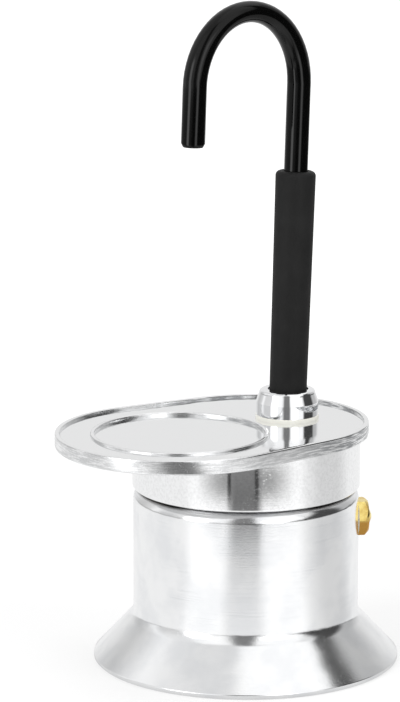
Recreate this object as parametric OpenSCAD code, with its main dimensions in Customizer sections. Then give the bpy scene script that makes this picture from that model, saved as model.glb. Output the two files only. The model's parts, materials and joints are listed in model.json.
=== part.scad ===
// Stovetop espresso maker for one serving: a boiler on a flared foot, a screw-on head with an
// egg-shaped serving tray, and a gooseneck spout that pours on to the tray.
// Millimetres, +Z up. The origin is the centre of the base and the spout lies in the XZ plane,
// with its collar towards +X and its tip towards -X.

/* [Boiler] */
// Outside diameter of the boiler's body
boiler_d = 59; // [54:0.5:68]
// Height of the shoulder, where the head's skirt begins
boiler_h = 46; // [42:0.5:60]
// Wall of the body
boiler_wall = 3.2; // [2.4:0.1:4.5]
// Thickness of the floor
boiler_floor = 5; // [3:0.5:8]
// Rounding of the shoulder
shoulder_round = 3; // [1:0.25:3.25]
// Rounding between the chamber's wall and floor
chamber_round = 3; // [1:0.5:6]

/* [Foot] */
// Diameter of the flared foot
foot_d = 80; // [72:1:96]
// Height at which the flare meets the body
foot_h = 12.5; // [9:0.5:18]
// Upright edge of the foot
foot_edge = 1.2; // [0.8:0.1:3]
// Hollow rounding between flare and body
foot_fillet = 4.6; // [1:0.2:6]
// Rounding between flare and edge
foot_round = 0.4; // [0.2:0.1:0.8]
// Bevel under the foot's edge
foot_bevel = 0.4; // [0.2:0.1:0.7]
// Diameter of the turned recess under the base
base_recess_d = 56; // [40:1:64]
// Depth of that recess
base_recess = 0.8; // [0.4:0.1:1.5]

/* [Neck] */
// Radial step from the body in to the threaded neck
neck_step = 3.5; // [3.3:0.1:5]
// Height of the neck above the shoulder
neck_h = 8; // [6:0.5:12]
// Wall of the neck
neck_wall = 3.6; // [2.6:0.1:4.5]
// Radial room for the thread between neck and skirt
thread_room = 0.9; // [0.6:0.05:1.2]
// Bevel at the neck's mouth
neck_bevel = 0.5; // [0.2:0.1:0.8]

/* [Funnel] */
// Radial clearance of the cup in the neck
cup_gap = 0.8; // [0.4:0.1:1.5]
// Depth of the cup, from its flange to the sieve
cup_depth = 17; // [12:0.5:20]
// Thickness of the cup's sheet
cup_sheet = 0.8; // [0.6:0.1:1.2]
// How far the flange stops short of the neck's edge
flange_inset = 0.6; // [0.5:0.1:1.5]
// Width of the ledge that carries the sieve
sieve_ledge = 0.8; // [0.5:0.1:1.5]
// Thickness of the sieve
sieve_t = 0.8; // [0.5:0.1:1.2]
// Height of the cone under the cup
cone_h = 6.5; // [4:0.5:9]
// Outside diameter of the stem
stem_d = 6.8; // [6:0.2:9]
// Wall of the stem
stem_wall = 0.7; // [0.5:0.1:1]
// Length of the socket that holds the stem
stem_socket = 3; // [2:0.5:5]
// Gap between the stem and the boiler's floor
stem_clear = 3; // [2:0.5:5]

/* [Gasket and filter] */
// Thickness of the gasket
gasket_t = 2.8; // [2:0.1:3.5]
// Radial clearance of the gasket in the skirt
gasket_gap = 0.5; // [0.3:0.1:0.8]
// Thickness of the filter plate
filter_t = 0.6; // [0.4:0.1:1]
// How far the filter plate laps over the gasket
filter_lap = 2.6; // [1.5:0.1:3.5]
// Diameter of the filter's and the sieve's holes
hole_d = 1.2; // [0.8:0.1:1.6]
// Distance between the rings of holes
hole_pitch = 4.2; // [3:0.1:4.4]
// Number of rings of holes
hole_rings = 4; // [2:1:4]
// Holes in the innermost ring; each further ring has as many more
first_ring_holes = 6; // [5:1:7]

/* [Head] */
// How far the skirt stands proud of the boiler
skirt_proud = 0.25; // [0.1:0.05:1]
// Rounding of the skirt's lower edge
skirt_round = 0.6; // [0.3:0.1:1]
// Height of the seam between boiler and skirt
seam = 0.3; // [0.2:0.05:0.6]
// Height of the collecting chamber over the filter
chamber_h = 1.6; // [1:0.1:2.5]
// Thickness of the tray over that chamber
tray_web = 2.6; // [2:0.1:4]

/* [Tray] */
// Distance from the boiler's axis to the serving end's centre
tray_reach = 21; // [14:0.5:30]
// Diameter of the serving end
tray_front_d = 64.4; // [60:0.2:76]
// Offset of the spout end's centre behind the boiler's axis
tray_back_x = 2.5; // [1:0.25:6]
// How far the spout end's radius exceeds the skirt's
tray_back_lip = 0.2; // [0.2:0.1:2]
// Thickness of the tray's edge under the floor
tray_t = 3; // [2.5:0.1:4]
// Width of the raised rim
rim_w = 1.3; // [1:0.1:2]
// Height of the rim above the floor
rim_h = 0.8; // [0.5:0.1:1.5]
// Rounding of the rim's two upper edges
rim_round = 0.4; // [0.1:0.05:0.45]
// Rounding under the tray's edge
edge_round = 0.5; // [0.3:0.1:1]
// Diameter of the locating ring on the floor
ring_d = 45; // [40:0.5:50]
// Width of that ring's bead
ring_w = 1.1; // [0.8:0.1:1.6]
// Height of the bead above the floor
ring_h = 0.7; // [0.6:0.05:0.75]
// How deep the bead is rooted in the floor
ring_root = 0.25; // [0.1:0.05:0.35]
// Depth of the floor inside the ring
ring_recess = 0.3; // [0.1:0.05:0.45]

/* [Spout] */
// Distance of the spout's collar from the boiler's axis
spout_x = 13.2; // [12:0.1:15.5]
// Lean of the spout towards the collar's side, in degrees
spout_lean = 2.1; // [0:0.1:3]
// Outside diameter of the tube
tube_d = 6.2; // [5:0.1:7]
// Wall of the tube
tube_wall = 0.7; // [0.4:0.1:1]
// Half the distance between the gooseneck's two legs
bend_r = 16.35; // [12:0.05:22]
// Height of the gooseneck's arch, on the tube's centreline
bend_h = 18.9; // [14:0.1:24]
// Share by which the tube is pressed flat at the top of the arch
bend_flat = 0.115; // [0:0.005:0.2]
// Height of the riser, from the tray to where the bend begins
riser_h = 88.1; // [80:0.1:120]
// Length of the drop, from the bend to the tip
drop_h = 15; // [8:0.2:30]
// How far the tube narrows to its tip
tip_bevel = 0.5; // [0.2:0.1:0.6]
// Length of that narrowing
tip_taper = 1; // [0.4:0.1:2]

/* [Collar and grip] */
// Height of the collar above its washer
collar_h = 6.6; // [5:0.1:9]
// Diameter of the collar at its foot
collar_foot_d = 16.4; // [14:0.1:18]
// Diameter of the collar at its top
collar_top_d = 14.8; // [13.6:0.1:16]
// Height of the collar's straight foot
collar_foot_h = 3.4; // [0.5:0.1:3.8]
// Rounding of the collar's top edge
collar_round = 0.9; // [0.3:0.1:1]
// Diameter of the collar's shank in the tray
shank_d = 9.2; // [8.6:0.1:10]
// How far that shank stops short of the tray's underside
shank_short = 0.25; // [0.1:0.05:0.5]
// Outside diameter of the washer
washer_d = 16.6; // [14:0.1:18]
// Thickness of the washer
washer_t = 1; // [0.6:0.1:1.5]
// Height of the grip's top above the tray
grip_top = 65.2; // [40:0.1:75]
// Diameter of the grip at its top
grip_d = 10.5; // [9.8:0.1:14]
// Diameter of the grip at its foot
grip_foot_d = 9.8; // [8.4:0.1:10.4]
// Rounding of the grip's top edge
grip_round = 1.2; // [0.4:0.1:1.5]
// How deep the grip sits in the collar
grip_seat = 1.8; // [1:0.1:3]
// Radial clearance of the grip in the collar
grip_gap = 0.4; // [0.2:0.05:0.5]

/* [Safety valve] */
// Direction of the valve, in degrees from the spout's plane
valve_angle = -30; // [-90:1:90]
// Depth of the valve's axis below the shoulder
valve_drop = 9; // [8:0.5:14]
// Hexagon of the valve, across its flats
valve_hex = 9; // [8.6:0.1:11]
// Thickness of the hexagon
valve_hex_h = 2.7; // [2:0.1:4]
// How far the hexagon's corners are turned down
hex_turned = 1.1; // [0.4:0.1:1.2]
// Diameter of the valve's shank
valve_shank_d = 8; // [7:0.1:8.2]
// Depth of the flat for the valve in the boiler's side
valve_flat = 0.5; // [0.3:0.05:0.8]
// Room round the hexagon on that flat
valve_flat_room = 0.5; // [0.3:0.1:1]
// Diameter of the pad inside the boiler that holds the valve
valve_pad_d = 13; // [11:0.5:14]
// Thickness of that pad
valve_pad_t = 1.8; // [1:0.1:2.2]
// How far the shank reaches past the pad
valve_shank_past = 0.8; // [0.4:0.1:1]
// Thickness of the valve's washer
valve_washer_t = 0.4; // [0.4:0.1:1.2]
// Bore of the valve's body
valve_bore_d = 5.2; // [4.8:0.1:5.4]
// Diameter of the steam hole in the valve's seat
valve_hole_d = 2.4; // [1.6:0.1:2.8]
// Thickness of the valve's seat
valve_seat_t = 0.9; // [0.6:0.1:1.2]
// How far the crown of the cap stands out of the hexagon
cap_proud = 0.9; // [0.6:0.1:1.6]
// How deep the cap sits in the body
cap_seat = 0.9; // [0.8:0.1:1.8]
// Diameter of the relief pin's rod
pin_d = 1.6; // [1.2:0.1:1.8]
// Diameter of the relief pin's head
pin_head_d = 4.2; // [3.8:0.1:4.4]
// Thickness of the pin's head
pin_head_t = 0.9; // [0.6:0.1:1.2]
// How far the rod stands out of the cap
pin_proud = 0; // [0:0.1:1]
// Radial clearance of the rod in the cap
pin_gap = 0.3; // [0.2:0.05:0.4]
// Thickness of the seal on the pin's head
valve_seal_t = 0.6; // [0.4:0.1:1]
// Wire of the valve's spring
spring_wire = 0.45; // [0.35:0.05:0.5]
// Mean diameter of the spring
spring_d = 3.2; // [3:0.1:3.4]
// Curls of the spring
spring_curls = 4; // [3:1:5]

/* [Hidden] */
$fn = 96;

// Clearance between pieces that are fixed together, and between faces that rest on each other
fit = 0.05;
// How far a cut runs past the face that it opens
past = 1;
// Straight pieces that stand for a small rounding in a profile
arc_steps = 6;
// Straight pieces that stand for a quarter of the tray's outline
egg_steps = 16;
// Straight pieces that stand for the gooseneck's arch, and sides of its tube
bend_steps = 32;
tube_sides = 28;

// Radii of the boiler and of what screws on to it
body_r = boiler_d / 2;
chamber_r = body_r - boiler_wall;
neck_r = body_r - neck_step;
neck_bore_r = neck_r - neck_wall;
skirt_r = body_r + skirt_proud;
skirt_bore_r = neck_r + thread_room;
cup_r = neck_bore_r - cup_gap;
cup_in_r = cup_r - cup_sheet;
flange_r = neck_r - flange_inset;
gasket_r = skirt_bore_r - gasket_gap;
filter_r = cup_in_r + filter_lap;
stem_r = stem_d / 2;

// Levels of the stack between boiler and tray
neck_top = boiler_h + neck_h;
flange_bottom = neck_top + fit;
flange_top = flange_bottom + cup_sheet;
gasket_bottom = flange_top + fit;
gasket_top = gasket_bottom + gasket_t;
filter_bottom = gasket_top + fit;
filter_top = filter_bottom + filter_t;
ceiling = filter_top + fit;
collecting_top = ceiling + chamber_h;
tray_floor = collecting_top + tray_web;
tray_under = tray_floor - tray_t;
rim_top = tray_floor + rim_h;
skirt_bottom = boiler_h + seam;

// Levels of the funnel
sieve_level = flange_top - cup_depth;
cone_bottom = sieve_level - cone_h;
stem_bottom = boiler_floor + stem_clear;

// The tray's outline: two circles on the X axis and their common tangents, which lie at a small
// angle to it
tray_front_r = tray_front_d / 2;
tray_back_r = skirt_r + tray_back_lip;
tray_span = tray_reach + tray_back_x;
tray_turn = asin((tray_front_r - tray_back_r) / tray_span);

// The spout, measured from the tray's floor along the tube
tube_r = tube_d / 2;
tube_bore_r = tube_r - tube_wall;
tip_x = -2 * bend_r;
tip_level = riser_h - drop_h;
shank_length = tray_web - shank_short;
tube_foot = fit - shank_length;
collar_top = washer_t + collar_h;
grip_foot = collar_top - grip_seat;

// The valve, measured from the boiler's axis along the valve's own
valve_z = boiler_h - valve_drop;
valve_face = body_r - valve_flat;
valve_inner = chamber_r - valve_pad_t - valve_shank_past;
hex_start = valve_face + valve_washer_t;
hex_end = hex_start + valve_hex_h;
hex_corner_r = valve_hex / sqrt(3);
hex_sides = 6;
seal_start = valve_inner + valve_seat_t + fit;
head_start = seal_start + valve_seal_t;
rod_start = head_start + pin_head_t;
cap_start = hex_end - cap_seat;
cap_end = hex_end + cap_proud;

aluminium = [0.8, 0.81, 0.82];
brass = [0.8, 0.62, 0.25];
black = [0.06, 0.06, 0.06];
silicone = [0.85, 0.84, 0.78];

// Points of an arc about c, from angle a to angle b
function arc(c, r, a, b) =
    [for (i = [0 : arc_steps]) let (t = a + (b - a) * i / arc_steps) c + r * [cos(t), sin(t)]];

// Triangles between a number of rings, each of n points; a joined loft goes on to the first ring
function loft_sides(rings, n, joined = false) = [
    for (i = [0 : rings - (joined ? 1 : 2)], k = [0 : n - 1], half = [0, 1])
        let (a = i * n + k, b = i * n + (k + 1) % n, next = (a + n) % (rings * n))
        half == 0 ? [a, b, next] : [b, (b + n) % (rings * n), next]
];

// Triangles of a solid through such rings that is closed at both ends
function loft(rings, n) = let (last = (rings - 1) * n) concat(
    loft_sides(rings, n),
    [for (k = [1 : n - 2]) [0, k + 1, k]],
    [for (k = [1 : n - 2]) [last, last + k, last + k + 1]]
);

// Points of a round end of the tray at height z, clockwise over twice an angle about its middle
function round_end(x, r, z, middle, half) = [
    for (i = [-egg_steps : egg_steps])
        let (t = middle - half * i / egg_steps)
        [x + r * cos(t), r * sin(t), z]
];

// Points of the tray's outline at height z, moved outwards: the spout end, then the serving end
function egg(out, z) = concat(
    round_end(tray_back_x, tray_back_r + out, z, 0, 90 - tray_turn),
    round_end(-tray_reach, tray_front_r + out, z, 180, 90 + tray_turn)
);

// Points round the spout's centreline at c in its plane, where out points out of the bend
function tube_ring(c, out, r, flat = 0) = [
    for (k = [0 : tube_sides - 1])
        let (side = -360 * k / tube_sides, across = r * (1 - flat) * cos(side))
        [c.x + across * out.x, r * sin(side), c.y + across * out.y]
];

// Points round the centreline of the arch, which is half an ellipse, at angle t from the riser
function bend_ring(t, r) = let (out = [bend_h * cos(t), bend_r * sin(t)])
    tube_ring(
        [bend_r * (cos(t) - 1), riser_h + bend_h * sin(t)],
        out / norm(out), r, bend_flat * sin(t) * sin(t)
    );

// A round tube's solid, with its inside taken out past both ends
module pipe(h, r, bore) {
    difference() {
        cylinder(h = h, r = r);
        translate([0, 0, -past]) cylinder(h = h + 2 * past, r = bore);
    }
}

// Places a shape on the safety valve's axis, with its own +Z pointing out of the boiler
module on_valve_axis(w = 0) {
    translate([0, 0, valve_z]) rotate([0, 0, valve_angle]) rotate([0, 90, 0])
        translate([0, 0, w]) children();
}

// Places a shape on the spout's leaning axis, measured from the tray's floor
module on_spout_axis() {
    translate([spout_x, 0, tray_floor]) rotate([0, spout_lean, 0]) children();
}

// The boiler's half section, from the base up the outside and down the inside
module boiler_section() {
    foot_r = foot_d / 2;
    recess_r = base_recess_d / 2;
    flare = atan2(foot_r - body_r, foot_h - foot_edge);
    tangent = foot_fillet * tan(flare / 2);
    polygon(concat(
        [[0, base_recess], [recess_r - base_recess, base_recess], [recess_r, 0]],
        [[foot_r - foot_bevel, 0], [foot_r, foot_bevel]],
        arc([foot_r - foot_round, foot_edge - foot_round * tan(flare / 2)], foot_round, 0, flare),
        arc([body_r + foot_fillet, foot_h + tangent], foot_fillet, 180 + flare, 180),
        arc([body_r - shoulder_round, boiler_h - shoulder_round], shoulder_round, 0, 90),
        [[neck_r, boiler_h], [neck_r, neck_top - neck_bevel], [neck_r - neck_bevel, neck_top]],
        [[neck_bore_r, neck_top], [neck_bore_r, boiler_h]],
        [[chamber_r, boiler_h - (chamber_r - neck_bore_r)]],
        arc([chamber_r - chamber_round, boiler_floor + chamber_round], chamber_round, 0, -90),
        [[0, boiler_floor]]
    ));
}

module boiler() {
    color(aluminium) difference() {
        union() {
            rotate_extrude() boiler_section();
            on_valve_axis(chamber_r - valve_pad_t) cylinder(h = valve_pad_t + past, d = valve_pad_d);
        }
        on_valve_axis(valve_face) cylinder(h = valve_flat + past, r = hex_corner_r + valve_flat_room);
        on_valve_axis(valve_inner - past)
            cylinder(h = valve_face - valve_inner + 2 * past, r = valve_shank_d / 2 + fit);
    }
}

module valve_washer() {
    color(silicone) on_valve_axis(valve_face + fit)
        pipe(valve_washer_t - 2 * fit, hex_corner_r, valve_shank_d / 2 + fit);
}

// The hexagon lies with a flat upwards, and its corners are turned down towards its outer face
module valve_body() {
    flat_up = 180 / hex_sides;
    color(brass) on_valve_axis() difference() {
        union() {
            translate([0, 0, valve_inner]) cylinder(h = hex_start - valve_inner + fit, d = valve_shank_d);
            intersection() {
                translate([0, 0, hex_start]) rotate(flat_up)
                    cylinder(h = valve_hex_h, r = hex_corner_r, $fn = hex_sides);
                rotate_extrude() polygon([
                    [0, hex_start], [hex_corner_r, hex_start], [hex_corner_r, hex_end - hex_turned],
                    [hex_corner_r - hex_turned, hex_end], [0, hex_end]
                ]);
            }
        }
        translate([0, 0, valve_inner - past])
            cylinder(h = valve_seat_t + 2 * past, d = valve_hole_d);
        translate([0, 0, valve_inner + valve_seat_t])
            cylinder(h = hex_end - valve_inner, d = valve_bore_d);
    }
}

// The cap's end is a low dome that starts where the cap leaves the hexagon
module valve_cap() {
    cap_r = valve_bore_d / 2 - fit;
    dome_r = (cap_r * cap_r + cap_proud * cap_proud) / (2 * cap_proud);
    color(brass) on_valve_axis() intersection() {
        translate([0, 0, cap_start]) pipe(cap_end - cap_start, cap_r, pin_d / 2 + pin_gap);
        translate([0, 0, cap_end - dome_r]) sphere(dome_r);
    }
}

module valve_pin() {
    color(brass) on_valve_axis(head_start) {
        cylinder(h = pin_head_t, d = pin_head_d);
        cylinder(h = cap_end + pin_proud - head_start, d = pin_d);
    }
}

module valve_seal() {
    color(silicone) on_valve_axis(seal_start) cylinder(h = valve_seal_t - fit, d = pin_head_d);
}

// The spring is one unbroken tube of wire, wound between the pin's head and the cap
module valve_spring() {
    rings_per_curl = 8;
    sides = 6;
    rings = spring_curls * rings_per_curl;
    wire_r = spring_wire / 2;
    low = rod_start + fit + wire_r;
    rise = (cap_start - fit - wire_r) - low;
    points = [
        for (i = [0 : rings], k = [0 : sides - 1])
            let (
                turn = 360 * i / rings_per_curl,
                side = 360 * k / sides,
                r = spring_d / 2 + wire_r * cos(side)
            )
            [r * cos(turn), r * sin(turn), low + rise * i / rings + wire_r * sin(side)]
    ];
    color("silver") on_valve_axis() polyhedron(points, loft(rings + 1, sides));
}

// The cup is sheet metal: its cone keeps the sheet's thickness down to the stem's socket
module funnel_cup() {
    socket_r = stem_r + fit;
    ledge_r = cup_in_r - sieve_ledge;
    slope = cone_h / (ledge_r - socket_r);
    sheet_drop = cup_sheet * sqrt(1 + slope * slope);
    cone_rim = sieve_level + (cup_r - ledge_r) * slope - sheet_drop;
    cone_foot = cone_bottom + cup_sheet * slope - sheet_drop;
    socket_end = cone_bottom - stem_socket;
    color(aluminium) rotate_extrude() polygon([
        [flange_r, flange_bottom], [flange_r, flange_top], [cup_in_r, flange_top],
        [cup_in_r, sieve_level], [ledge_r, sieve_level], [socket_r, cone_bottom],
        [socket_r, socket_end], [socket_r + cup_sheet, socket_end],
        [socket_r + cup_sheet, cone_foot], [cup_r, cone_rim], [cup_r, flange_bottom]
    ]);
}

module funnel_stem() {
    color(aluminium) translate([0, 0, stem_bottom])
        pipe(cone_bottom - stem_bottom, stem_r, stem_r - stem_wall);
}

// A disc with rings of holes round a hole in its centre
module perforated_disc(r, t) {
    difference() {
        cylinder(h = t, r = r);
        translate([0, 0, -past]) cylinder(h = t + 2 * past, d = hole_d);
        for (ring = [1 : hole_rings], i = [1 : first_ring_holes * ring])
            rotate(360 * i / (first_ring_holes * ring)) translate([ring * hole_pitch, 0, -past])
                cylinder(h = t + 2 * past, d = hole_d);
    }
}

module funnel_sieve() {
    color(aluminium) translate([0, 0, sieve_level + fit]) perforated_disc(cup_in_r - fit, sieve_t);
}

module gasket() {
    color(silicone) translate([0, 0, gasket_bottom]) pipe(gasket_t, gasket_r, cup_in_r);
}

module filter_plate() {
    color(aluminium) translate([0, 0, filter_bottom]) perforated_disc(filter_r, filter_t);
}

// The tray is lofted through rings of its egg-shaped outline, from its underside up the edge and
// over the rim to the floor
module tray() {
    edge = concat(
        arc([-edge_round, tray_under + edge_round], edge_round, -90, 0),
        arc([-rim_round, rim_top - rim_round], rim_round, 0, 90),
        arc([rim_round - rim_w, rim_top - rim_round], rim_round, 90, 180),
        [[-rim_w, tray_floor]]
    );
    rings = [for (p = edge) egg(p.x, p.y)];
    polyhedron([for (ring = rings) each ring], loft(len(rings), len(rings[0])));
}

// The skirt's half section, with the land that presses on the filter and gasket; it ends halfway
// up the tray's edge
module skirt_section() {
    skirt_top = tray_under + tray_t / 2;
    polygon(concat(
        [[0, ceiling], [skirt_bore_r, ceiling], [skirt_bore_r, skirt_bottom + skirt_round]],
        [[skirt_bore_r + skirt_round, skirt_bottom]],
        arc([skirt_r - skirt_round, skirt_bottom + skirt_round], skirt_round, -90, 0),
        [[skirt_r, skirt_top], [0, skirt_top]]
    ));
}

// The locating ring's half section, rooted in the recess that it goes round
module ring_section() {
    ring_foot = -ring_recess - ring_root;
    bead_r = ring_w / 2;
    translate([ring_d / 2, 0]) polygon(concat(
        [[-bead_r, ring_foot], [bead_r, ring_foot]],
        arc([0, ring_h - bead_r], bead_r, 0, 180)
    ));
}

module collector_head() {
    color(aluminium) {
        difference() {
            union() {
                rotate_extrude() skirt_section();
                tray();
            }
            translate([0, 0, ceiling - past]) cylinder(h = chamber_h + past, r = cup_in_r);
            translate([spout_x, 0, ceiling])
                cylinder(h = tray_floor - ceiling + past, r = shank_d / 2 + fit);
            translate([-tray_reach, 0, tray_floor - ring_recess])
                cylinder(h = ring_recess + past, r = ring_d / 2);
        }
        translate([-tray_reach, 0, tray_floor]) rotate_extrude() ring_section();
    }
}

module collar_washer() {
    color(silicone) translate([spout_x, 0, tray_floor + fit])
        pipe(washer_t - 2 * fit, washer_d / 2, shank_d / 2 + fit);
}

// The collar stands upright on the tray; its bore follows the spout's lean
module spout_collar() {
    foot_r = collar_foot_d / 2;
    top_r = collar_top_d / 2;
    color("whitesmoke") difference() {
        translate([spout_x, 0, tray_floor]) rotate_extrude() polygon(concat(
            [[0, -shank_length], [shank_d / 2, -shank_length], [shank_d / 2, washer_t]],
            [[foot_r, washer_t], [foot_r, washer_t + collar_foot_h]],
            arc([top_r - collar_round, collar_top - collar_round], collar_round, 0, 90),
            [[0, collar_top]]
        ));
        on_spout_axis() {
            translate([0, 0, -shank_length - past])
                cylinder(h = shank_length + collar_top + 2 * past, r = tube_r + fit);
            translate([0, 0, grip_foot - fit])
                cylinder(h = grip_seat + past, r = grip_foot_d / 2 + grip_gap);
        }
    }
}

// The tube is lofted up its outside from the foot to the tip and back down its bore
module spout_tube() {
    bend = [for (i = [0 : bend_steps]) 180 * i / bend_steps];
    rings = concat(
        [tube_ring([0, tube_foot], [1, 0], tube_r)],
        [for (t = bend) bend_ring(t, tube_r)],
        [tube_ring([tip_x, tip_level + tip_taper], [-1, 0], tube_r)],
        [tube_ring([tip_x, tip_level], [-1, 0], tube_r - tip_bevel)],
        [tube_ring([tip_x, tip_level], [-1, 0], tube_bore_r)],
        [for (t = bend) bend_ring(180 - t, tube_bore_r)],
        [tube_ring([0, tube_foot], [1, 0], tube_bore_r)]
    );
    color(black) on_spout_axis() polyhedron(
        [for (ring = rings) each ring], loft_sides(len(rings), tube_sides, joined = true)
    );
}

module grip_sleeve() {
    bore = tube_r + fit;
    color(black) on_spout_axis() rotate_extrude() polygon(concat(
        [[bore, grip_foot], [grip_foot_d / 2, grip_foot]],
        arc([grip_d / 2 - grip_round, grip_top - grip_round], grip_round, 0, 90),
        [[bore, grip_top]]
    ));
}

boiler();
valve_washer();
valve_body();
valve_cap();
valve_pin();
valve_seal();
valve_spring();
funnel_cup();
funnel_stem();
funnel_sieve();
gasket();
filter_plate();
collector_head();
collar_washer();
spout_collar();
spout_tube();
grip_sleeve();
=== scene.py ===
"""Looks of the stovetop espresso maker: camera, studio, materials and fine pieces round its solids."""
import json
import math

import bpy
from mathutils import Matrix, Vector


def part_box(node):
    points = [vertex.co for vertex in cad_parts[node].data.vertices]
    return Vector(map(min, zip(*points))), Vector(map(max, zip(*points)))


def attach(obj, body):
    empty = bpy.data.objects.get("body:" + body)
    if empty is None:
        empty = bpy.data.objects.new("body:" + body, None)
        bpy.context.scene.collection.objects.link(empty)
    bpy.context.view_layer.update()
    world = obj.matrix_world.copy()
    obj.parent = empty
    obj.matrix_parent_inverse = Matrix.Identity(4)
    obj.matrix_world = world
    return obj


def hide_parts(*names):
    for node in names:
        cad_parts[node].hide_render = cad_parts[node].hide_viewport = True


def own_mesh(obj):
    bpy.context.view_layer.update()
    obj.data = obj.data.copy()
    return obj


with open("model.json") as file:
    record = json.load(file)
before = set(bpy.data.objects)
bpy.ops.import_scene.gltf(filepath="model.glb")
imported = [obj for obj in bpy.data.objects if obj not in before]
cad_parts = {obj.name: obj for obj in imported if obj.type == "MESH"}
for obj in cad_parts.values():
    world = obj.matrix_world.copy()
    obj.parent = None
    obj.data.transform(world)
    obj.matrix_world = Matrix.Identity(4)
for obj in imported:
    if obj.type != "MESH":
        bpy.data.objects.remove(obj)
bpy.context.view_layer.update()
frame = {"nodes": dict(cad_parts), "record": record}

nodes = frame["nodes"]

MM = 0.001
MICRON = 0.000001
PER_MM = 1000.0

# Camera: its place and line of sight in the object's frame, in metres, and lens and sensor in millimetres
CAMERA_PLACE = Vector((-0.5277, -0.7398, 0.2790))
CAMERA_LOOK = Vector((0.5569, 0.8030, -0.2120))
CAMERA_LENS = 183.8
CAMERA_SENSOR = 36.0

# Horizontal directions from the object's axis: to the camera, and to the right as the camera sees it
TOWARD = Vector((CAMERA_PLACE.x, CAMERA_PLACE.y, 0)).normalized()
RIGHT = Vector((-TOWARD.y, TOWARD.x, 0))

# Sizes and places of the object that its boxes do not give, in millimetres and radians
GASKET_BORE_R = 20.8
WASHER_BORE_R = 4.65
NECK_R = 26.0
SKIRT_BORE_R = 26.9
SHOULDER = 46.0
THREAD_PITCH = 2.5
VALVE_ANGLE = math.radians(-30)
VALVE_Z = 37.0
# The relief pin's seal and spring, which start and end along the valve's axis, from the boiler's axis
SEAL_START = 24.65
SEAL_END = 25.2
SEAL_R = 2.1
SPRING_START = 26.25
SPRING_END = 31.15
SPRING_R = 1.6
SPRING_WIRE_R = 0.225


def grey(level):
    """An opaque grey colour."""
    return (level, level, level, 1)


class Graph:
    """A node tree with short calls for the nodes that the materials share."""

    def __init__(self, tree):
        self.tree = tree
        tree.nodes.clear()

    def node(self, kind, inputs=None, **settings):
        """A new node; an input takes a number, a colour or another node's socket."""
        made = self.tree.nodes.new(kind)
        for name, value in settings.items():
            setattr(made, name, value)
        for name, value in (inputs or {}).items():
            if isinstance(value, bpy.types.NodeSocket):
                self.tree.links.new(value, made.inputs[name])
            else:
                made.inputs[name].default_value = value
        return made

    def math(self, operation, *values):
        """The result of a Math node."""
        inputs = dict(enumerate(values))
        return self.node("ShaderNodeMath", inputs, operation=operation).outputs[0]

    def dot(self, vector, direction):
        """The length of a vector along a fixed direction."""
        inputs = {0: vector, 1: tuple(direction)}
        return self.node("ShaderNodeVectorMath", inputs, operation="DOT_PRODUCT").outputs["Value"]

    def scaled(self, vector, factors):
        """A vector with each part multiplied by its own factor."""
        inputs = {0: vector, 1: tuple(factors)}
        return self.node("ShaderNodeVectorMath", inputs, operation="MULTIPLY").outputs["Vector"]

    def step(self, value, start, end):
        """Rises smoothly from 0 at start to 1 at end."""
        inputs = {"Value": value, "From Min": min(start, end), "From Max": max(start, end)}
        rising = self.node("ShaderNodeMapRange", inputs, interpolation_type="SMOOTHSTEP").outputs[0]
        return rising if start < end else self.math("SUBTRACT", 1.0, rising)

    def band(self, value, centre, half, soft):
        """1 within half of centre, with edges twice soft wide, and 0 outside."""
        away = self.math("ABSOLUTE", self.math("SUBTRACT", value, centre))
        return self.step(away, half + soft, half - soft)

    def mix(self, share, first, second):
        """A number between first and second."""
        inputs = {0: share, 2: first, 3: second}
        return self.node("ShaderNodeMix", inputs, data_type="FLOAT").outputs[0]

    def mix_colour(self, share, first, second):
        """A colour between first and second."""
        inputs = {0: share, 6: first, 7: second}
        return self.node("ShaderNodeMix", inputs, data_type="RGBA").outputs[2]

    def ramp(self, value, stops):
        """A grey level that runs through (place, level) stops."""
        made = self.node("ShaderNodeValToRGB", {"Fac": value})
        points = made.color_ramp.elements
        while len(points) < len(stops):
            points.new(1.0)
        for point, (place, level) in zip(points, stops):
            point.position = place
            point.color = grey(level)
        return made.outputs["Color"]

    def noise(self, vector, scale, detail=3.0):
        """A noise between 0 and 1."""
        inputs = {"Vector": vector, "Scale": scale, "Detail": detail}
        return self.node("ShaderNodeTexNoise", inputs).outputs["Fac"]

    def bump(self, height, microns, normal=None):
        """A normal from a height, whose rise from 0 to 1 stands for so many microns."""
        inputs = {"Height": height, "Distance": microns * MICRON}
        if normal is not None:
            inputs["Normal"] = normal
        return self.node("ShaderNodeBump", inputs).outputs["Normal"]

    def place(self):
        """The point on the piece in millimetres, in the object's frame at rest."""
        coordinates = self.node("ShaderNodeTexCoord").outputs["Object"]
        return self.scaled(coordinates, (PER_MM, PER_MM, PER_MM))

    def parts(self, vector):
        """The x, y and z of a vector."""
        split = self.node("ShaderNodeSeparateXYZ", {"Vector": vector})
        return split.outputs[0], split.outputs[1], split.outputs[2]


def new_material(name):
    """An empty material and its graph."""
    material = bpy.data.materials.new(name)
    material.use_nodes = True
    return material, Graph(material.node_tree)


# Studio

# What shiny surfaces see round the object: its level low down and high up, with 1 for white, and the
# elevations in degrees between which it rises
STUDIO_LOW_LEVEL = 0.68
STUDIO_HIGH_LEVEL = 0.88
STUDIO_RISE = (5, 40)
# Cards in it: azimuth from the camera to the right in degrees, half width, softness and level; a later
# card lies over an earlier one
STUDIO_CARDS = (
    (-132, 8, 14, 0.55),
    (-104, 6, 6, 1.0),
    (124, 14, 14, 0.5),
    (-40, 21, 5, 1.08),
    (36, 26, 5, 1.15),
)
# The elevations at which the cards end, and the level above them
STUDIO_CARDS_TOP = (50, 60)
STUDIO_TOP_LEVEL = 0.8
# The dark gap in front, where the camera stands, and the elevations at which it ends
STUDIO_GAP = (-2, 12, 4)
STUDIO_GAP_TOP = (54, 66)
STUDIO_GAP_LEVEL = 0.21
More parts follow.
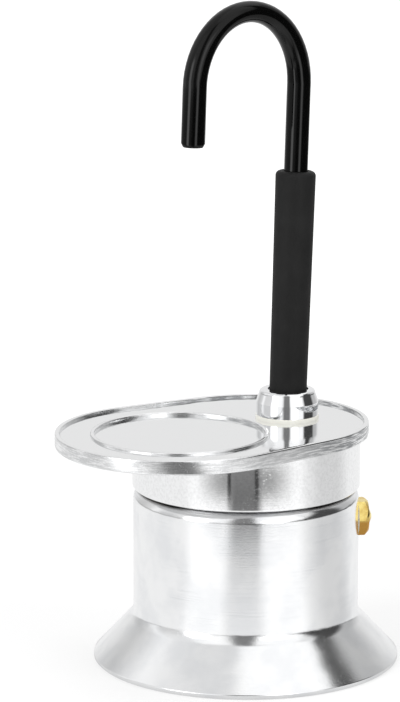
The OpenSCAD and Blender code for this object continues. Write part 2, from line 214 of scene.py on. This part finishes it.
# The dark flag on the right: its leaning edge, its upright edge and its level
FLAG_LEAN = 0.8
FLAG_EDGE = (48, 57)
FLAG_END = (118, 104)
FLAG_LEVEL = 0.06
# The white ceiling: the elevations at which it starts in front, and how that edge falls to the right
CEILING_LEVEL = 1.15
CEILING_START = (62, 68)
CEILING_LEAN = 0.3
CEILING_LEAN_END = 60

# The white backdrop behind the object
BACKDROP_LEVEL = 0.84
BACKDROP_START = (128, 155)

# The dim room beyond the table top
ROOM_LEFT = 0.4
ROOM_RIGHT = 0.06
ROOM_MIDDLE = (-30, 0)
# Distances from the object's axis between which the room's floor runs into the studio
ROOM_END = (1.3, 2.4)

# Two bright windows low in the room, and the elevations at which they end
WINDOW_CARDS = (
    (-50, 10, 6, 3.8),
    (29, 9, 6, 2.6),
)
WINDOW_TOP = (30, 18)

# The white table top that the object stands on, and where it ends, in metres from the object's axis
TABLE_LEVEL = 0.93
TABLE_CARDS = (
    (-36, 18, 8, 1.15),
    (34, 20, 8, 1.15),
    (88, 22, 14, 0.7),
)
TABLE_END = (0.33, 0.42)
# Shade close round the foot, by distance
TABLE_SHADE = 0.7
TABLE_SHADE_END = (0.039, 0.052)
# How the table top darkens towards the camera: azimuth band, and levels by the share of the reach
TABLE_FRONT = (-1, 14, 5)
TABLE_FRONT_REACH = 0.4
TABLE_FRONT_STOPS = (
    (0.15, 0.98), (0.3, 0.86), (0.4, 0.72), (0.435, 0.66), (0.455, 0.5), (0.475, 0.34), (0.5, 0.2),
    (0.55, 0.17), (0.63, 0.22), (1.0, 0.24),
)
# The half shade on both sides of that band, and the distances at which it starts and ends
TABLE_HALF_SHADE = (0, 38, 20, 0.34)
TABLE_HALF_START = (0.2, 0.235)
TABLE_HALF_END = (0.28, 0.255)
# Sharp dark lines near both edges of that band, at the same distances as the half shade
TABLE_DARK_EDGES = (
    (-15.5, 1.6, 1.0, 0.05),
    (10, 1.8, 1.0, 0.05),
)

FLOOR_SIZE = 8.0
FLOOR_DROP = 0.00005
# How white the floor is to the camera: less near the object, where its shadow has to show, than far off
FLOOR_GLOW_NEAR = 0.64
FLOOR_GLOW_FAR = 0.95
FLOOR_GLOW_RISE = (0.12, 0.5)
# The floor's grey under that glow, and its pale colour to scattered light
FLOOR_GREY = 0.25
FLOOR_PALE = 0.9
# The even light from all round
AMBIENT_LEVEL = 0.55


def azimuth_of(g, vector):
    """Degrees round the object's axis, from the camera to the right."""
    side = g.dot(vector, RIGHT)
    front = g.dot(vector, TOWARD)
    return g.math("MULTIPLY", g.math("ARCTAN2", side, front), math.degrees(1))


def with_cards(g, level, azimuth, cards):
    """A level with cards laid over it by azimuth."""
    for centre, half, soft, card_level in cards:
        level = g.mix(g.band(azimuth, centre, half, soft), level, card_level)
    return level


def studio_level(g, direction):
    """The studio above the table, by direction."""
    azimuth = azimuth_of(g, direction)
    elevation = g.math("MULTIPLY", g.math("ARCSINE", g.parts(direction)[2]), math.degrees(1))
    level = g.mix(g.step(elevation, *STUDIO_RISE), STUDIO_LOW_LEVEL, STUDIO_HIGH_LEVEL)
    back = g.step(g.math("ABSOLUTE", azimuth), *BACKDROP_START)
    level = with_cards(g, g.mix(back, level, BACKDROP_LEVEL), azimuth, STUDIO_CARDS)
    level = g.mix(g.step(elevation, *WINDOW_TOP), level, with_cards(g, level, azimuth, WINDOW_CARDS))
    level = g.mix(g.step(elevation, *STUDIO_CARDS_TOP), level, STUDIO_TOP_LEVEL)
    low = g.math("SUBTRACT", 1.0, g.step(elevation, *STUDIO_GAP_TOP))
    gap = g.math("MULTIPLY", g.band(azimuth, *STUDIO_GAP), low)
    level = g.mix(gap, level, STUDIO_GAP_LEVEL)
    side = g.math("MAXIMUM", g.math("MINIMUM", azimuth, CEILING_LEAN_END), -CEILING_LEAN_END)
    height = g.math("MULTIPLY_ADD", side, CEILING_LEAN, elevation)
    level = g.mix(g.step(height, *CEILING_START), level, CEILING_LEVEL)
    leaning = g.math("MULTIPLY_ADD", elevation, -FLAG_LEAN, azimuth)
    flag = g.math("MULTIPLY", g.step(leaning, *FLAG_EDGE), g.step(azimuth, *FLAG_END))
    return g.mix(flag, level, FLAG_LEVEL)


def room_level(g, azimuth):
    """The room beyond the table, by azimuth."""
    level = g.mix(g.step(azimuth, *ROOM_MIDDLE), ROOM_LEFT, ROOM_RIGHT)
    back = g.step(g.math("ABSOLUTE", azimuth), *BACKDROP_START)
    return with_cards(g, g.mix(back, level, BACKDROP_LEVEL), azimuth, WINDOW_CARDS)


def table_level(g, azimuth, distance):
    """The table top, by azimuth and distance from the object's axis."""
    level = with_cards(g, TABLE_LEVEL, azimuth, TABLE_CARDS)
    far = g.math("MULTIPLY", g.step(distance, *TABLE_HALF_START), g.step(distance, *TABLE_HALF_END))
    level = g.mix(far, level, with_cards(g, level, azimuth, (TABLE_HALF_SHADE,)))
    share = g.math("DIVIDE", distance, TABLE_FRONT_REACH)
    level = g.mix(g.band(azimuth, *TABLE_FRONT), level, g.ramp(share, TABLE_FRONT_STOPS))
    level = g.mix(far, level, with_cards(g, level, azimuth, TABLE_DARK_EDGES))
    return g.mix(g.step(distance, *TABLE_SHADE_END), TABLE_SHADE, level)


def make_world():
    """A soft even light, a white background, and the studio for what reflects it."""
    world = bpy.data.worlds.new("studio")
    bpy.context.scene.world = world
    world.use_nodes = True
    g = Graph(world.node_tree)
    direction = g.node("ShaderNodeTexCoord").outputs["Generated"]
    path = g.node("ShaderNodeLightPath").outputs
    level = g.mix(path["Is Camera Ray"], AMBIENT_LEVEL, 1.0)
    level = g.mix(path["Is Glossy Ray"], level, studio_level(g, direction))
    background = g.node("ShaderNodeBackground", {"Color": level})
    g.node("ShaderNodeOutputWorld", {"Surface": background.outputs[0]})


def floor_material():
    """Pale floor: white to the camera with the object's soft shadow, and the table top in reflections."""
    material, g = new_material("floor")
    point = g.node("ShaderNodeTexCoord").outputs["Object"]
    azimuth = azimuth_of(g, point)
    distance = g.node("ShaderNodeVectorMath", {0: point}, operation="LENGTH").outputs["Value"]
    level_way = g.node("ShaderNodeVectorMath", {0: point}, operation="NORMALIZE").outputs["Vector"]
    beyond = g.mix(g.step(distance, *ROOM_END), room_level(g, azimuth), studio_level(g, level_way))
    reflected = g.mix(g.step(distance, *TABLE_END), table_level(g, azimuth, distance), beyond)
    plain = g.node("ShaderNodeBsdfDiffuse", {"Color": grey(FLOOR_PALE)}).outputs[0]
    shaded = g.node("ShaderNodeBsdfDiffuse", {"Color": grey(FLOOR_GREY)}).outputs[0]
    white = g.mix(g.step(distance, *FLOOR_GLOW_RISE), FLOOR_GLOW_NEAR, FLOOR_GLOW_FAR)
    glow = g.node("ShaderNodeEmission", {"Color": grey(1), "Strength": white}).outputs[0]
    seen = g.node("ShaderNodeAddShader", {0: glow, 1: shaded}).outputs[0]
    mirrored = g.node("ShaderNodeEmission", {"Color": reflected}).outputs[0]
    path = g.node("ShaderNodeLightPath").outputs
    shader = g.node("ShaderNodeMixShader", {0: path["Is Camera Ray"], 1: plain, 2: seen}).outputs[0]
    shader = g.node("ShaderNodeMixShader", {0: path["Is Glossy Ray"], 1: shader, 2: mirrored}).outputs[0]
    g.node("ShaderNodeOutputMaterial", {"Surface": shader})
    return material


def make_floor():
    """The floor, just under the object's base."""
    half = FLOOR_SIZE / 2
    mesh = bpy.data.meshes.new("floor")
    corners = [(-half, -half, 0), (half, -half, 0), (half, half, 0), (-half, half, 0)]
    mesh.from_pydata(corners, [], [(0, 1, 2, 3)])
    mesh.materials.append(floor_material())
    floor = bpy.data.objects.new("floor", mesh)
    floor.location.z = -FLOOR_DROP
    bpy.context.scene.collection.objects.link(floor)


# Lamps: name, place from the object's axis towards the camera, to the right and up, size, watts
LAMPS = (
    ("key", 0.55, -0.75, 0.9, 0.7, 11.0),
    ("fill", 0.5, 0.85, 0.7, 0.7, 7.0),
    ("top", -0.15, 0.0, 1.3, 0.9, 9.0),
)
LAMP_AIM = Vector((0, 0, 0.07))


def make_lamps():
    """Soft lamps for what does not shine; shiny surfaces see the studio's cards instead."""
    for name, front, side, up, size, watts in LAMPS:
        data = bpy.data.lights.new(name, "AREA")
        data.size = size
        data.energy = watts
        lamp = bpy.data.objects.new(name, data)
        lamp.location = TOWARD * front + RIGHT * side + Vector((0, 0, up))
        lamp.rotation_euler = (LAMP_AIM - lamp.location).to_track_quat("-Z", "Y").to_euler()
        lamp.visible_glossy = False
        bpy.context.scene.collection.objects.link(lamp)


def make_camera():
    """The photograph's camera."""
    data = bpy.data.cameras.new("camera")
    data.lens = CAMERA_LENS
    data.sensor_width = CAMERA_SENSOR
    camera = bpy.data.objects.new("camera", data)
    camera.location = CAMERA_PLACE
    camera.rotation_euler = CAMERA_LOOK.to_track_quat("-Z", "Y").to_euler()
    bpy.context.scene.collection.objects.link(camera)
    bpy.context.scene.camera = camera


# Materials

# Where the boiler's finish changes, in millimetres: its outside by radius, the painted shade under the
# seam and the lathe marks above the foot by height, and where that shade fades, by distance towards the
# camera
BOILER_OUTSIDE = (26.6, 27.2)
SEAM_SHADE_START = (44.9, 45.5)
LATHE_START = (12, 18)
CAMERA_SIDE_START = (20.5, 25)
# The share of the painted seam shade that is left on the side facing the camera
SEAM_SHADE_LEFT = 0.05

# Where the head's finish changes, in millimetres: the tray above the skirt by height, and the tray's
# edge from mostly polished to as cast along X
TRAY_START = (59.5, 59.9)
AS_CAST_START = (-14, 14)


def finish_material(g, colour, roughness, normal, **constants):
    """The shader and output; constants are set on the shader's own sockets."""
    inputs = {"Base Color": colour, "Roughness": roughness, "Normal": normal}
    inputs.update({name.replace("_", " "): value for name, value in constants.items()})
    shader = g.node("ShaderNodeBsdfPrincipled", inputs)
    g.node("ShaderNodeOutputMaterial", {"Surface": shader.outputs[0]})


def turned_lines(g, place):
    """A noise drawn out round the object's axis, like the marks of a lathe."""
    x, y, z = g.parts(place)
    angle = g.math("ARCTAN2", y, x)
    along = g.node("ShaderNodeCombineXYZ", {"X": angle, "Y": g.math("MULTIPLY", z, 2.2)})
    return g.noise(along.outputs[0], 1.6, 4.0)


def small_dents(g, place, size):
    """Small pits, kept only in patches."""
    pits = g.step(g.noise(place, 1.0 / size, 2.0), 0.6, 0.7)
    patches = g.step(g.noise(place, 0.09), 0.42, 0.6)
    return g.math("MULTIPLY", pits, patches)


def around(g, noise, middle, spread):
    """A number that follows a noise round a middle value."""
    return g.math("MULTIPLY_ADD", g.math("SUBTRACT", noise, 0.5), spread, middle)


def boiler_material():
    """Turned, polished aluminium: lathe marks, hand marks, small dents and painted shade under the seam."""
    material, g = new_material("turned_aluminium")
    place = g.place()
    x, y, z = g.parts(place)
    radius = g.math("SQRT", g.math("ADD", g.math("POWER", x, 2.0), g.math("POWER", y, 2.0)))
    outside = g.step(radius, *BOILER_OUTSIDE)
    lines = turned_lines(g, place)
    smudge = g.noise(place, 0.11, 5.0)
    dents = small_dents(g, place, 0.7)
    grain = g.noise(place, 2.2, 3.0)
    # Painted shade in the gap under the seam, where the skirt shades the shoulder, fading towards the
    # camera
    camera_side = g.step(g.dot(place, TOWARD), *CAMERA_SIDE_START)
    seam_shade = g.math("MULTIPLY", outside, g.step(z, *SEAM_SHADE_START))
    seam_shade = g.math("MULTIPLY", seam_shade, g.mix(camera_side, 1.0, SEAM_SHADE_LEFT))
    colour = g.mix_colour(g.step(smudge, 0.3, 0.65), (0.83, 0.84, 0.855, 1), (0.93, 0.935, 0.94, 1))
    marks = g.math("MULTIPLY", g.step(lines, 0.5, 0.72), g.step(smudge, 0.58, 0.4))
    marks = g.math("MULTIPLY", marks, g.step(z, *LATHE_START))
    colour = g.mix_colour(marks, colour, (0.79, 0.8, 0.815, 1))
    # Paints that seam shade into the colour
    colour = g.mix_colour(seam_shade, colour, (0.17, 0.165, 0.16, 1))
    roughness = g.mix(outside, 0.34, around(g, smudge, 0.16, 0.1))
    roughness = g.math("ADD", roughness, g.math("MULTIPLY", dents, 0.06))
    normal = g.bump(lines, 5)
    normal = g.bump(grain, 6, normal)
    normal = g.bump(dents, 2, normal)
    finish_material(g, colour, roughness, normal, Metallic=1.0)
    return material


def head_material():
    """Cast and polished aluminium: mirror-like floor and skirt, streaky cast edge, rough underside."""
    material, g = new_material("polished_casting")
    place = g.place()
    x, _, z = g.parts(place)
    facing_up = g.parts(g.node("ShaderNodeTexCoord").outputs["Normal"])[2]
    floor = g.step(facing_up, 0.8, 0.97)
    under = g.step(facing_up, -0.5, -0.9)
    tray = g.step(z, *TRAY_START)
    edge = g.math("MULTIPLY", tray, g.step(g.math("ABSOLUTE", facing_up), 0.75, 0.45))
    streaks = g.noise(g.scaled(place, (0.22, 0.22, 2.6)), 1.0, 4.0)
    as_cast = g.mix(g.step(x, *AS_CAST_START), 0.35, 1.0)
    dull = g.math("MULTIPLY", g.math("MULTIPLY", edge, as_cast), g.step(streaks, 0.38, 0.58))
    lines = turned_lines(g, place)
    smudge = g.noise(place, 0.08, 4.0)
    dents = small_dents(g, place, 0.6)
    grain = g.noise(place, 4.0, 2.0)
    mottle = g.noise(place, 1.3, 5.0)
    colour = g.mix_colour(g.step(mottle, 0.3, 0.65), (0.85, 0.855, 0.86, 1), (0.93, 0.935, 0.94, 1))
    colour = g.mix_colour(floor, colour, (0.9, 0.905, 0.91, 1))
    # Downward faces darker: partly the dull as-cast finish, partly painted shade
    colour = g.mix_colour(under, colour, grey(0.66))
    colour = g.mix_colour(dull, colour, (0.36, 0.37, 0.38, 1))
    roughness = g.mix(tray, around(g, smudge, 0.06, 0.06), around(g, streaks, 0.22, 0.16))
    roughness = g.mix(floor, roughness, around(g, smudge, 0.07, 0.08))
    roughness = g.mix(under, roughness, around(g, grain, 0.42, 0.2))
    roughness = g.math("ADD", roughness, g.math("MULTIPLY", dents, 0.08))
    relief = g.math("ADD", g.math("MULTIPLY", lines, 0.5), g.math("MULTIPLY", edge, streaks))
    normal = g.bump(relief, 4)
    normal = g.bump(grain, 2, normal)
    normal = g.bump(dents, 2, normal)
    finish_material(g, colour, roughness, normal, Metallic=1.0)
    return material


def chrome_material():
    """Bright chrome with faint polishing marks."""
    material, g = new_material("chrome")
    place = g.place()
    smudge = g.noise(place, 0.35, 4.0)
    rings = g.noise(g.scaled(place, (0.2, 0.2, 9.0)), 1.0, 2.0)
    colour = g.mix_colour(smudge, (0.88, 0.885, 0.9, 1), (0.94, 0.945, 0.95, 1))
    finish_material(g, colour, around(g, smudge, 0.05, 0.05), g.bump(rings, 1.5), Metallic=1.0)
    return material


def tube_material():
    """Gloss black coating with a little orange peel and dust."""
    material, g = new_material("black_coating")
    place = g.place()
    peel = g.noise(place, 1.1, 2.0)
    dust = g.step(g.noise(place, 5.0, 3.0), 0.66, 0.78)
    smudge = g.noise(place, 0.2, 4.0)
    colour = g.mix_colour(dust, grey(0.0008), grey(0.006))
    roughness = around(g, smudge, 0.11, 0.06)
    finish_material(g, colour, roughness, g.bump(peel, 3), Specular_IOR_Level=0.25)
    return material


def grip_material():
    """Matte black silicone rubber with a fine pebbled skin."""
    material, g = new_material("black_rubber")
    place = g.place()
    skin = g.noise(place, 3.2, 3.0)
    worn = g.noise(place, 0.16, 4.0)
    colour = g.mix_colour(worn, grey(0.007), grey(0.014))
    roughness = around(g, skin, 0.6, 0.2)
    finish_material(g, colour, roughness, g.bump(skin, 40), Specular_IOR_Level=0.15)
    return material


def silicone_material():
    """Pale, slightly cloudy silicone that lets a little light in."""
    material, g = new_material("pale_silicone")
    place = g.place()
    cloud = g.noise(place, 0.3, 4.0)
    skin = g.noise(place, 3.0, 2.0)
    colour = g.mix_colour(cloud, (0.78, 0.77, 0.7, 1), (0.86, 0.85, 0.79, 1))
    finish_material(g, colour, around(g, skin, 0.45, 0.2), g.bump(skin, 10), Subsurface_Weight=0.15,
                    Subsurface_Scale=1 * MM, Subsurface_Radius=(1.0, 0.95, 0.85))
    return material


def brass_material():
    """Turned brass, darkened by heat in patches, with painted shade on its lower side."""
    material, g = new_material("brass")
    place = g.place()
    tarnish = g.step(g.noise(place, 0.45, 4.0), 0.35, 0.75)
    marks = g.noise(g.scaled(place, (1.0, 1.0, 5.0)), 0.9, 3.0)
    # Painted shade and reflection of the shaded floor on the valve's lower side
    lower_shade = g.step(g.parts(place)[2], VALVE_Z + 0.2, VALVE_Z - 0.8)
    colour = g.mix_colour(tarnish, (0.95, 0.78, 0.28, 1), (0.82, 0.56, 0.15, 1))
    colour = g.mix_colour(lower_shade, colour, (0.62, 0.33, 0.07, 1))
    roughness = g.math("MULTIPLY_ADD", tarnish, 0.14, 0.14)
    finish_material(g, colour, roughness, g.bump(marks, 6), Metallic=1.0)
    return material


def fibre_material():
    """Pale pressed fibre."""
    material, g = new_material("fibre")
    place = g.place()
    threads = g.noise(g.scaled(place, (4.0, 4.0, 1.0)), 1.0, 4.0)
    colour = g.mix_colour(threads, (0.36, 0.33, 0.27, 1), (0.58, 0.55, 0.47, 1))
    finish_material(g, colour, around(g, threads, 0.75, 0.2), g.bump(threads, 30))
    return material


def satin_material(name, dark, light, rough):
    """Satin sheet or wire metal with drawing marks."""
    material, g = new_material(name)
    place = g.place()
    lines = turned_lines(g, place)
    smudge = g.noise(place, 0.12, 4.0)
    colour = g.mix_colour(smudge, grey(dark), grey(light))
    finish_material(g, colour, around(g, smudge, rough, 0.14), g.bump(lines, 6), Metallic=1.0)
    return material


def dress_nodes():
    """Gives each CAD node the material of its record slot, and returns the materials by slot."""
    looks = {
        "boiler_metal": boiler_material(),
        "head_metal": head_material(),
        "collar_chrome": chrome_material(),
        "tube_black": tube_material(),
        "grip_rubber": grip_material(),
        "silicone": silicone_material(),
        "valve_brass": brass_material(),
        "valve_fibre": fibre_material(),
        "spring_steel": satin_material("spring_steel", 0.5, 0.62, 0.24),
        "funnel_metal": satin_material("drawn_sheet", 0.72, 0.84, 0.3),
        "sieve_metal": satin_material("pierced_sheet", 0.68, 0.8, 0.34),
    }
    for part in frame["record"]["subparts"]:
        mesh = nodes[part["node"]].data
        mesh.materials.clear()
        mesh.materials.append(looks[part["material_slot"]])
    return looks


# Shading of the nodes whose round forms are made of short straight pieces

ROUNDED_NODES = ("boiler", "collector_head", "spout_tube", "funnel_cup")
WELD_DISTANCE = 0.000004
SHARP_ANGLE = math.radians(32)


def smooth_rounds():
    """Shades the small steps of a rounding as the smooth form that they stand for."""
    for name in ROUNDED_NODES:
        piece = nodes[name]
        for layer_name in ("custom_normal", "sharp_edge", "sharp_face"):
            layer = piece.data.attributes.get(layer_name)
            if layer:
                piece.data.attributes.remove(layer)
        piece.data.shade_smooth()
        weld = piece.modifiers.new("weld", "WELD")
        weld.merge_threshold = WELD_DISTANCE
        split = piece.modifiers.new("split", "EDGE_SPLIT")
        split.split_angle = SHARP_ANGLE
        weighted = piece.modifiers.new("weighted", "WEIGHTED_NORMAL")
        weighted.keep_sharp = True


# Fine pieces

RING_SEGMENTS = 160
DISC_SIDES = 48
CORNER_STEPS = 5


def add_piece(name, vertices, faces, material, body, slot, *replaced):
    """A mesh piece in metres, smooth-shaded, riding on a body."""
    mesh = bpy.data.meshes.new(name)
    mesh.from_pydata(vertices, [], faces)
    mesh.materials.append(material)
    mesh.shade_smooth()
    piece = bpy.data.objects.new(name, mesh)
    bpy.context.scene.collection.objects.link(piece)
    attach(piece, body)
    if replaced:
        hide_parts(*replaced)
    return piece


def rounded_section(inner, outer, low, high, corner):
    """Points of a ring's section with rounded corners, counter-clockwise in radius and height."""
    centres = (
        (outer - corner, low + corner, -90),
        (outer - corner, high - corner, 0),
        (inner + corner, high - corner, 90),
        (inner + corner, low + corner, 180),
    )
    points = []
    for radius, height, start in centres:
        for i in range(CORNER_STEPS + 1):
            turn = math.radians(start + 90 * i / CORNER_STEPS)
            points.append((radius + corner * math.cos(turn), height + corner * math.sin(turn)))
    return points


def revolve(section, place):
    """Vertices and faces of a closed section turned round the local Z axis, placed by a matrix, in mm."""
    count = len(section)
    vertices = []
    for i in range(RING_SEGMENTS):
        turn = 2 * math.pi * i / RING_SEGMENTS
        for radius, height in section:
            point = place @ Vector((radius * math.cos(turn), radius * math.sin(turn), height))
            vertices.append(point * MM)
    faces = []
    for i in range(RING_SEGMENTS):
        here = i * count
        there = (i + 1) % RING_SEGMENTS * count
        for k in range(count):
            after = (k + 1) % count
            faces.append((here + k, there + k, there + after, here + after))
    return vertices, faces


def circle(radius):
    """Points round the local Z axis."""
    turns = [2 * math.pi * k / DISC_SIDES for k in range(DISC_SIDES)]
    return [Vector((radius * math.cos(turn), radius * math.sin(turn), 0)) for turn in turns]


def sweep(rings):
    """Vertices and faces of a tube through rings of points in mm, closed at both ends."""
    count = len(rings[0])
    vertices = [point * MM for ring in rings for point in ring]
    faces = [tuple(range(count))[::-1]]
    for i in range(len(rings) - 1):
        for k in range(count):
            after = (k + 1) % count
            faces.append((i * count + k, i * count + after, (i + 1) * count + after, (i + 1) * count + k))
    last = (len(rings) - 1) * count
    faces.append(tuple(range(last, last + count)))
    return vertices, faces


def valve_frame():
    """Places local Z on the safety valve's axis, measured from the boiler's axis."""
    facing = Matrix.Translation((0, 0, VALVE_Z)) @ Matrix.Rotation(VALVE_ANGLE, 4, "Z")
    return facing @ Matrix.Rotation(math.pi / 2, 4, "Y")


def rounded_disc(radius, low, high, corner, place):
    """Vertices and faces of a disc with rounded edges round the local Z axis, placed by a matrix, in mm."""
    rings = []
    for height, start in ((low + corner, -90), (high - corner, 0)):
        for i in range(CORNER_STEPS + 1):
            turn = math.radians(start + 90 * i / CORNER_STEPS)
            rings.append([
                place @ Vector((spoke.x, spoke.y, height + corner * math.sin(turn)))
                for spoke in circle(radius - corner + corner * math.cos(turn))
            ])
    return sweep(rings)


# How round the soft pieces' edges are, and how far the washer reaches below its solid, in millimetres
GASKET_CORNER = 0.45
WASHER_CORNER = 0.04
WASHER_SINK = 0.08
SEAL_CORNER = 0.15


def make_seals(looks):
    """The soft pieces: gasket, washer under the collar and the disc on the relief pin."""
    low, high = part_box("gasket")
    section = rounded_section(GASKET_BORE_R, high.x / MM, low.z / MM, high.z / MM, GASKET_CORNER)
    shape = revolve(section, Matrix())
    add_piece("gasket_ring", *shape, looks["silicone"], "gasket", "silicone", "gasket")

    low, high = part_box("collar_washer")
    middle = (low + high) / 2 / MM
    outer = (high.x - low.x) / 2 / MM
    section = rounded_section(WASHER_BORE_R, outer, low.z / MM - WASHER_SINK, high.z / MM, WASHER_CORNER)
    shape = revolve(section, Matrix.Translation((middle.x, middle.y, 0)))
    add_piece("collar_ring", *shape, looks["silicone"], "head", "silicone", "collar_washer")

    shape = rounded_disc(SEAL_R, SEAL_START, SEAL_END, SEAL_CORNER, valve_frame())
    add_piece("pin_seal", *shape, looks["silicone"], "relief_pin", "silicone", "valve_seal")


# The thread's ridges, in millimetres: where the neck's starts, how far both sink into the wall, half
# their width at root and crest, and each one's height and turns, as many as there is room for
THREAD_START = SHOULDER + 0.9
THREAD_SINK = 0.05
THREAD_ROOT_HALF = 0.75
THREAD_CREST_HALF = 0.25
NECK_RIDGE = 0.6
NECK_TURNS = 2.34
SKIRT_RIDGE = 0.4
SKIRT_TURNS = 2.1
THREAD_STEPS = 72
# The share of a ridge's length over which each end fades, and the shares of height and width left there
THREAD_FADE = 0.12
THREAD_END_HEIGHT = 0.02
THREAD_END_WIDTH = 0.4


def thread(start, turns, root, crest):
    """A helical ridge whose height fades in and out at its ends; root and crest are radii in mm."""
    rings = []
    steps = int(THREAD_STEPS * turns)
    for i in range(steps + 1):
        share = i / steps
        fade = min(1.0, share / THREAD_FADE, (1 - share) / THREAD_FADE)
        fade = max(THREAD_END_HEIGHT, fade)
        turn = 2 * math.pi * turns * share
        height = start + THREAD_PITCH * turns * share
        tip = root + (crest - root) * fade
        half = THREAD_ROOT_HALF * (THREAD_END_WIDTH + (1 - THREAD_END_WIDTH) * fade)
        top = THREAD_CREST_HALF * fade
        corners = ((root, -half), (tip, -top), (tip, top), (root, half))
        if crest < root:
            corners = corners[::-1]
        rings.append([Vector((r * math.cos(turn), r * math.sin(turn), height + h)) for r, h in corners])
    return sweep(rings)


def make_threads(looks):
    """The screw thread between the boiler's neck and the head's skirt; the skirt's clears the gasket."""
    outside = thread(THREAD_START, NECK_TURNS, NECK_R - THREAD_SINK, NECK_R + NECK_RIDGE)
    add_piece("neck_thread", *outside, looks["boiler_metal"], "boiler", "boiler_metal")
    between = THREAD_START + THREAD_PITCH / 2
    inside = thread(between, SKIRT_TURNS, SKIRT_BORE_R + THREAD_SINK, SKIRT_BORE_R - SKIRT_RIDGE)
    add_piece("skirt_thread", *inside, looks["head_metal"], "head", "head_metal")


SPRING_CURLS = 4
SPRING_STEPS = 40
SPRING_SIDES = 14
# How far the wire stays inside the spring's two ends, in millimetres
SPRING_CLEAR = 0.05


def make_spring(looks):
    """The relief valve's coil spring, an even helix."""
    place = valve_frame()
    low = SPRING_START + SPRING_CLEAR + SPRING_WIRE_R
    high = SPRING_END - SPRING_CLEAR - SPRING_WIRE_R
    rings = []
    steps = SPRING_CURLS * SPRING_STEPS
    for i in range(steps + 1):
        share = i / steps
        turn = 2 * math.pi * SPRING_CURLS * share
        height = low + (high - low) * share
        ring = []
        for k in range(SPRING_SIDES):
            side = 2 * math.pi * k / SPRING_SIDES
            radius = SPRING_R + SPRING_WIRE_R * math.cos(side)
            lift = SPRING_WIRE_R * math.sin(side)
            point = Vector((radius * math.cos(turn), radius * math.sin(turn), height + lift))
            ring.append(place @ point)
        rings.append(ring)
    spring = add_piece("relief_spring", *sweep(rings), looks["spring_steel"], "boiler", "spring_steel",
                       "valve_spring")
    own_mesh(spring)


make_camera()
make_world()
make_floor()
make_lamps()
looks = dress_nodes()
smooth_rounds()
make_seals(looks)
make_threads(looks)
make_spring(looks)

bpy.context.scene.view_settings.view_transform = "Standard"
